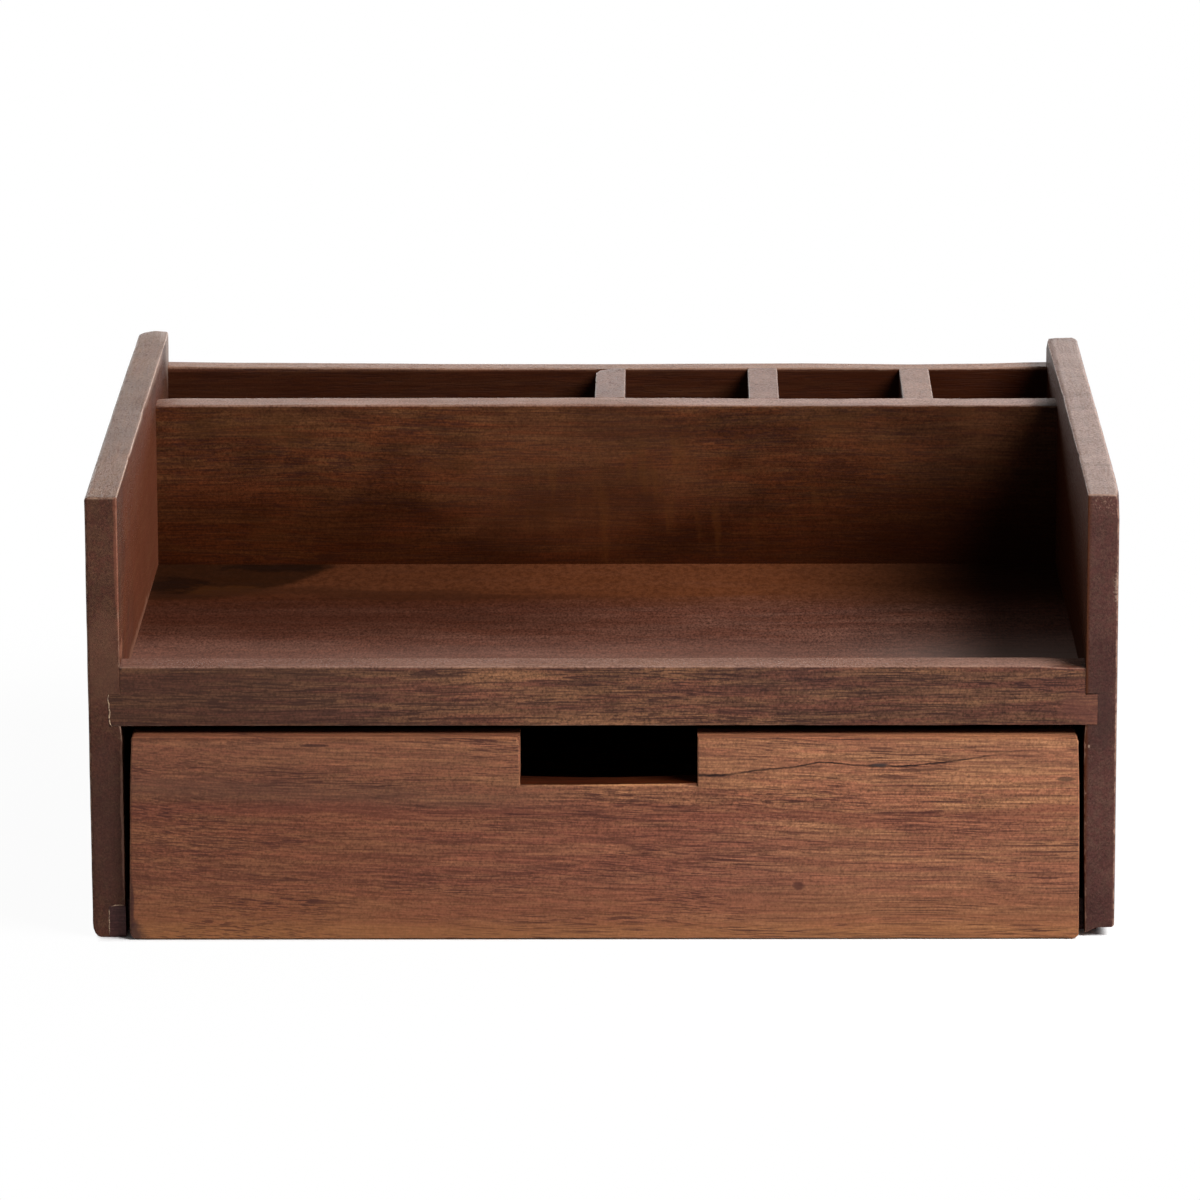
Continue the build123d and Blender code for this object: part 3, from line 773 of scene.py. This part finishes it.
# Three dividers part the compartments. They are short pieces of the same 12 mm board set with
# the grain upright, so that their sanded end grain shows on top, speckled and paler.
for number, (low, high) in enumerate(dividers, start=1):
    wood = Timber(
        f"divider_{number}_stained", "z", 50 + number, pale=(0.125, 0.058, 0.038),
        warm=(0.115, 0.042, 0.026), deep=(0.050, 0.020, 0.014), band=(90, 9), pore_size=(7.0, 0.9),
    )
    # The tops get paler from left to right; their paleness is partly sanded end grain, partly painted sheen
    top_wear_and_sheen_colour = (0.19 + 0.035 * number, 0.086 + 0.0245 * number, 0.066 + 0.0145 * number)
    wood.rubbed_top(inner_top_z, top_wear_and_sheen_colour, 0.24 + 0.06 * number)
    wood.wear((0.26, 0.17, 0.13), 0.4)
    board(
        f"divider_{number}_board", "case", f"divider_{number}", wood.done(), gone=[],
        eased=[
            ((edge, partition_back_y, inner_top_z), (edge, back_panel_y, inner_top_z), 0.7)
            for edge in (low[0], high[0])
        ],
        shape=inner_top, wave=0.15,
        dents=[((low[0], back_panel_y, inner_top_z), 4.5, (1.6, 0, -0.5))] if number == 1 else (),
    )


# Beech pins hold the partition, the back panel, the dividers and the drawer's corners. They
# lie hidden in their holes, plain and unstained.
beech = Timber(
    "beech", "x", 60, pale=(0.62, 0.42, 0.26), warm=(0.6, 0.36, 0.2), deep=(0.46, 0.29, 0.17), pores=0.2,
    pore_colour=(0.25, 0.14, 0.08),
).done()
for joint in ("partition", "back_panel", "divider", "drawer_front", "drawer_back"):
    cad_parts[f"{joint}_dowels"].data.materials[0] = beech


# Cut brads of plain steel: their flat heads lie flush below the bottom board's edges and
# below the drawer's panel.
steel = flecked("brad_steel", (0.50, 0.48, 0.45), (0.20, 0.16, 0.13), 0.5, 0.75, 0.3, metallic=1.0)
for name in ("bottom_brads", "drawer_bottom_brads"):
    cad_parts[name].data.materials[0] = steel


# The drawer front is paler than the case, a thick red-brown plank with fine dark pores, cut with
# a finger notch and grooved behind for the panel. A dark mineral line runs right of the notch.
(left_x, drawer_front_y, base), (right_x, drawer_front_back_y, front_top_z) = corners_of("drawer_front")
notch_left_x, notch_right_x, notch_z = -30.55, 34.95, 58.8
groove_end_x, groove_floor_y, groove_z, groove_top_z = 170.0, -138.0, 18.2, 22.4
wood = Timber(
    "drawer_front_stained", "x", 72, pale=(0.325, 0.140, 0.067), warm=(0.290, 0.102, 0.054),
    deep=(0.110, 0.038, 0.023), band=(170, 6), streak=(40, 0.75), contrast=0.165, pores=0.0,
    pore_size=(12.0, 0.36), fleck=0.2, grit=1.8, lean=9.6, banded=0.28, hair=0.9,
)
across, upward = wood.place.part("X"), wood.place.part("Z")
ripple = ((wood.place * (1 / 80, 1, 1 / 14)).cloud(3.0) - 0.5) * 18
leaned = upward - wood.lean
# Broad light and dark: painted shade to the left and painted light right of the notch, and paler along the
# foot
wood.stain((0.240, 0.092, 0.048), (leaned + ripple).between(52, 32) * 0.28)
wood.shade((0.76, 0.71, 0.70), (across + ripple * 4).between(60, -110))
wood.shade((1.20, 1.28, 1.26), across.between(30, 110) * upward.between(36, 60))
wood.shade((1.00, 1.04, 1.07), across.between(10, 70) * upward.between(60, 36))
wood.stain((0.105, 0.050, 0.032), leaned.distance_to(50.0).between(7, 1) * across.between(10, -50) * 0.45)
wood.stain((0.36, 0.165, 0.088), upward.between(46, 72) * 0.22)
wood.shade((0.88, 0.86, 0.89), across.between(-50, -130) * upward.between(40, 58))
wood.shade((0.94, 0.90, 0.97), across.distance_to(-5.0).between(100, 40) * upward.between(60, 40))
# Painted shade along the top edge, under the rail
wood.shade((0.86, 0.78, 0.74), upward.between(75.6, 77.2))
wood.shade((0.72, 0.76, 0.80), wood.spot((-60, -146, 63), (110, 20, 7), 0.7, 30) * 0.4)
wood.stain((0.170, 0.050, 0.031), (upward + ripple).distance_to(49).between(4, 1) * 0.35)
wood.stain((0.27, 0.105, 0.038), (upward + ripple * 0.5).between(26, 4) * 0.3)
wood.stain((0.36, 0.155, 0.052), upward.between(9, 1.5) * 0.3)
# Pores in drifts
drifts = (wood.place / (60.0, 9.0, 12.0)).cloud(2.0).between(0.38, 0.6)
wood.stain((0.040, 0.013, 0.013), wood.pores * (0.25 + 0.75 * drifts) * 0.75)
# The mineral line, from the notch's edge to the right and up
line_start, line_length, line_foot, line_rise = 35.0, 120.0, 60.0, 15.0
line = across.node(
    "ShaderNodeFloatCurve",
    {"points": [
        (0, 0.21), (0.07, 0.21), (0.18, 0.33), (0.30, 0.42), (0.385, 0.53), (0.43, 0.505),
        (0.50, 0.455), (0.62, 0.44), (0.72, 0.50), (0.84, 0.63), (1, 0.83),
    ]},
    {"Value": (across - line_start) / line_length},
) * line_rise + line_foot
off_line = upward.distance_to(line + ((wood.place / 3.0).cloud(3.0) - 0.5) * 0.8)
width = 0.30 + across.distance_to(102.0).between(6, 1) * 0.45 + across.between(60, 38) * 0.2
inked = (off_line / width).between(1.5, 0.5) * across.between(34, 36) * across.between(165, 125)
wood.stain((0.022, 0.010, 0.009), inked * (0.30 + 1.1 * (wood.place / 4.0).cloud(2.0)))
# Small knots and dark marks
for centre, reach, colour in [
    ((102.0, -146, 67.0), (4.2, 5, 0.9), (0.040, 0.030, 0.030)),
    ((72.2, -146, 20.8), (2.7, 5, 2.4), (0.070, 0.024, 0.018)),
    ((171, -146, 61.5), (5.0, 5, 1.0), (0.080, 0.042, 0.026)),
    ((125, -146, 52.9), (12, 5, 0.5), (0.060, 0.025, 0.020)),
    ((-106, -146, 74.6), (7, 5, 0.7), (0.040, 0.016, 0.014)),
    ((-175.5, -146, 2), (6.0, 6, 7.0), (0.040, 0.019, 0.018)),
    ((-175, -146, 14), (1.4, 6, 13), (0.040, 0.015, 0.014)),
]:
    wood.stain(colour, wood.spot(centre, reach, 0.45, 3.5) * 0.8)
wood.wear((0.38, 0.165, 0.078), 0.18, 5.0, 0.7)
# The notch's floor is painted much darker, as shade under the rail, and its front arris has a painted
# highlight
shaded_notch_floor = across.between(-31.5, -30.5) * across.between(36.0, 35.0) * upward.between(62.5, 61.5)
wood.shade((0.190, 0.086, 0.030), shaded_notch_floor * wood.place.part("Y").between(-145.8, -145.0) * 0.97)
wood.stain((0.42, 0.20, 0.085), wood.spot((2.2, -145.7, 59.9), (36, 0.9, 0.9), 0.6, 2.0) * 0.9)
top = front_top_z
ends = [(left_x, base, 3.0), (right_x, base, 2.6), (left_x, top, 1.0), (right_x, top, 1.8)]
front_outline = [
    ((left_x, base), (right_x, base)),
    ((left_x, base), (left_x, top)),
    ((right_x, base), (right_x, top)),
    ((left_x, top), (notch_left_x, top)),
    ((notch_right_x, top), (right_x, top)),
    ((notch_left_x, notch_z), (notch_left_x, top)),
    ((notch_right_x, notch_z), (notch_right_x, top)),
    ((notch_left_x, notch_z), (notch_right_x, notch_z)),
]


def planed(place):
    """The front is planed by hand: lower to the right, narrower up, its notch's floor uneven."""
    near_left, near_right = part_way(place.x, left_x + 50, left_x), part_way(place.x, right_x - 50, right_x)
    middle, upper = part_way(place.z, 10, 61), part_way(place.z, 61, front_top_z)
    place.z -= 0.6 * part_way(place.z, notch_z, front_top_z) * part_way(place.x, left_x, right_x)
    place.x += near_left * (1.1 * middle - 0.5 + 0.8 * upper) - near_right * (0.5 * middle + 0.6 * upper)
    run = (place.x - notch_left_x) / (notch_right_x - notch_left_x)
    if -0.001 < run < 1.001:
        inward = part_way(place.y, drawer_front_y, drawer_front_back_y)
        saddle = 0.65 - 0.6 * math.sin(math.pi * run) * inward + 0.5 * run ** 3
        place.z += saddle * part_way(abs(place.z - notch_z), 12, 0)
    return place


board(
    "drawer_front_board", "drawer", "drawer_front", wood.done(0.10),
    gone=[
        ((notch_left_x, drawer_front_y, notch_z), (notch_right_x, drawer_front_back_y, front_top_z)),
        ((-groove_end_x, groove_floor_y, groove_z), (groove_end_x, drawer_front_back_y, groove_top_z)),
    ],
    eased=[((x, drawer_front_y, z), (x, drawer_front_back_y, z), r) for x, z, r in ends]
    + [((a[0], drawer_front_y, a[1]), (b[0], drawer_front_y, b[1]), 0.8) for a, b in front_outline],
    dents=[((notch_left_x, drawer_front_y, front_top_z), 5, (-1.0, 0, -0.3))],
    shape=planed,
)


# The drawer's box is of thinner, paler boards of the same kind, lightly oiled: two sides and
# a back, pinned at the corners.
for seed, name in enumerate(("drawer_side_left", "drawer_side_right", "drawer_back")):
    wood = Timber(
        f"{name}_oiled", "x" if name == "drawer_back" else "y", 80 + seed, pale=(0.36, 0.175, 0.095),
        warm=(0.36, 0.15, 0.075), deep=(0.17, 0.072, 0.042),
    )
    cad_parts[name].data.materials[0] = wood.done()


# The drawer's bottom is a thin panel of a paler oiled wood. It slides into the grooves of the
# front and the sides and is bradded up into the back.
wood = Timber(
    "drawer_panel_oiled", "x", 90, pale=(0.43, 0.235, 0.13), warm=(0.42, 0.2, 0.1),
    deep=(0.24, 0.115, 0.065),
)
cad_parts["drawer_bottom"].data.materials[0] = wood.done()


# The studio: a pale floor that runs out to white, a soft lamp high on the right that throws the
# right side's shadow into the tray, a low one behind that skims the boards' top edges, and a
# weak one on the left.


def floor():
    """A pale floor that takes light and shadow, and looks white round the box's footprint."""
    box_middle_x, box_half_width, box_half_depth = 0.002, 0.188, 0.146
    plane = bmesh.new()
    bmesh.ops.create_grid(plane, x_segments=8, y_segments=8, size=7.0)
    mesh = bpy.data.meshes.new("studio_floor")
    plane.to_mesh(mesh)
    plane.free()
    ground = bpy.data.objects.new("studio_floor", mesh)
    bpy.context.scene.collection.objects.link(ground)
    paint = bpy.data.materials.new("studio_floor_paint")
    paint.use_nodes = True
    tree = paint.node_tree
    tree.nodes.clear()
    start = Value(tree)
    seen = start.node("ShaderNodeLightPath", {}, {}, out="Is Camera Ray")
    seen = seen + start.node("ShaderNodeLightPath", {}, {}, out="Is Glossy Ray")
    seen = seen + start.node("ShaderNodeLightPath", {}, {}, out="Is Transmission Ray")
    spot = start.node("ShaderNodeTexCoord", {}, {}, out="Object")
    sideways = (spot.part("X").distance_to(box_middle_x) - box_half_width).at_least(0.0)
    onward = (spot.part("Y").distance_to(0.0) - box_half_depth).at_least(0.0)
    away = start.node("ShaderNodeCombineXYZ", {}, {0: sideways, 1: onward}).size()
    white = away.between(0.0, 0.003) * 0.96 + away.between(0.03, 0.3) * 0.04
    matt = start.node("ShaderNodeBsdfDiffuse", {}, {"Color": (0.85, 0.85, 0.85, 1.0)})
    glow = start.node("ShaderNodeEmission", {}, {"Strength": 1.0})
    mixed = start.node("ShaderNodeMixShader", {}, {0: seen * white, 1: matt, 2: glow})
    tree.links.new(mixed.socket, tree.nodes.new("ShaderNodeOutputMaterial").inputs["Surface"])
    mesh.materials.append(paint)


def sky():
    """White where it is seen directly, and a weak even light otherwise."""
    world = bpy.data.worlds.new("studio")
    bpy.context.scene.world = world
    world.use_nodes = True
    tree = world.node_tree
    tree.nodes.clear()
    start = Value(tree)
    seen = start.node("ShaderNodeLightPath", {}, {}, out="Is Camera Ray")
    seen = seen + start.node("ShaderNodeLightPath", {}, {}, out="Is Transmission Ray")
    soft = start.node("ShaderNodeBackground", {}, {"Strength": 0.14})
    white = start.node("ShaderNodeBackground", {}, {"Strength": 1.0})
    for shader in (soft, white):
        shader.socket.node.inputs["Color"].default_value = (1, 1, 1, 1)
    mixed = start.node("ShaderNodeMixShader", {}, {0: seen, 1: soft, 2: white})
    tree.links.new(mixed.socket, tree.nodes.new("ShaderNodeOutputWorld").inputs["Surface"])


def lamp(name, place, aim, width, height, power, colour=(1.0, 1.0, 1.0)):
    """A soft rectangular lamp, with its place and what it aims at in metres."""
    light = bpy.data.lights.new(name, "AREA")
    light.color = colour
    light.shape = "RECTANGLE"
    light.size, light.size_y, light.energy = width, height, power
    holder = bpy.data.objects.new(name, light)
    holder.location = place
    holder.rotation_euler = (Vector(aim) - Vector(place)).to_track_quat("-Z", "Y").to_euler()
    bpy.context.scene.collection.objects.link(holder)


floor()
sky()
lamp("right_lamp", (1.35, -0.8, 1.5), (0, 0, 0.1), 1.1, 1.1, 74)
lamp("rear_lamp", (0.0, 1.9, 0.36), (0, 0, 0.2), 2.8, 0.62, 28, (1.0, 0.95, 0.92))
lamp("left_lamp", (-1.6, 0.9, 0.2), (0, 0, 0.08), 1.0, 0.35, 5)

# The camera stands in front and above, as in the photograph, and looks a little to the left.
stand = (0.0271, -2.7777, 0.7676)
pitch, yaw, roll, focal, sensor = 0.23779, 0.0106, -0.00368, 221.4, 36.0
forward = Vector((-math.sin(yaw) * math.cos(pitch), math.cos(yaw) * math.cos(pitch), -math.sin(pitch)))
level = Vector((math.cos(yaw), math.sin(yaw), 0.0))
upward = level.cross(forward)
right = math.cos(roll) * level + math.sin(roll) * upward
up = math.cos(roll) * upward - math.sin(roll) * level
lens = bpy.data.cameras.new("camera")
lens.lens, lens.sensor_width = focal, sensor
lens.clip_start, lens.clip_end = 0.1, 30.0
camera = bpy.data.objects.new("camera", lens)
facing = Matrix((right, up, -forward)).transposed().to_4x4()
camera.matrix_world = Matrix.Translation(stand) @ facing
bpy.context.scene.collection.objects.link(camera)
bpy.context.scene.camera = camera
bpy.context.scene.view_settings.view_transform = "Standard"
